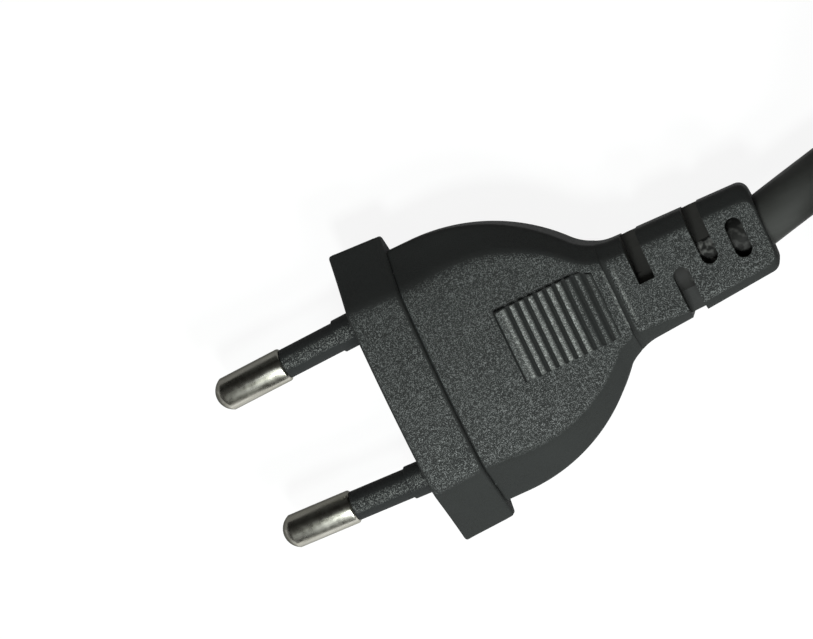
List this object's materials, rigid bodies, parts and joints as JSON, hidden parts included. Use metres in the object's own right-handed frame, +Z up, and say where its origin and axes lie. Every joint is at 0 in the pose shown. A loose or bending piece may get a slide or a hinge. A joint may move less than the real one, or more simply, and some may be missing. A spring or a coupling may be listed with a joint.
{
  "type": "europlug",
  "caption": "Flat mains plug with sleeved round pins, ribbed grip and slotted strain relief, moulded on a black lead that is folded into a tied hank and ends in stripped wires.",
  "frame": {"origin": "on the surface that the plug lies on, under the middle of the plug's own box, without the free lead", "axes": "+X from the pins to the cord, +Y across the pins, +Z up from the broad face that it lies on"},
  "size_m": [0.1586, 0.0631, 0.0248],
  "materials": {
    "moulding": "spark-eroded matt",
    "nickel": "satin nickel plate",
    "sleeve": "satin",
    "insert": "matt",
    "sheath": "satin",
    "brown_insulation": "satin",
    "blue_insulation": "satin",
    "copper": "stranded copper",
    "tin": "tinned strands",
    "tie": "matt strip"
  },
  "bodies": {
    "root": {"plug_body": "moulding", "pin_bridge": "insert", "left_pin": "nickel", "right_pin": "nickel", "left_pin_sleeve": "sleeve", "right_pin_sleeve": "sleeve", "brown_core": "brown_insulation", "blue_core": "blue_insulation", "brown_conductor": "copper", "blue_conductor": "copper", "cord_grip": "sheath", "cord_lead": "sheath", "cord_hank": "sheath", "hank_ties": "tie", "brown_tail_wire": "brown_insulation", "blue_tail_wire": "blue_insulation", "tinned_wire_ends": "tin"}
  },
  "joints": []
}
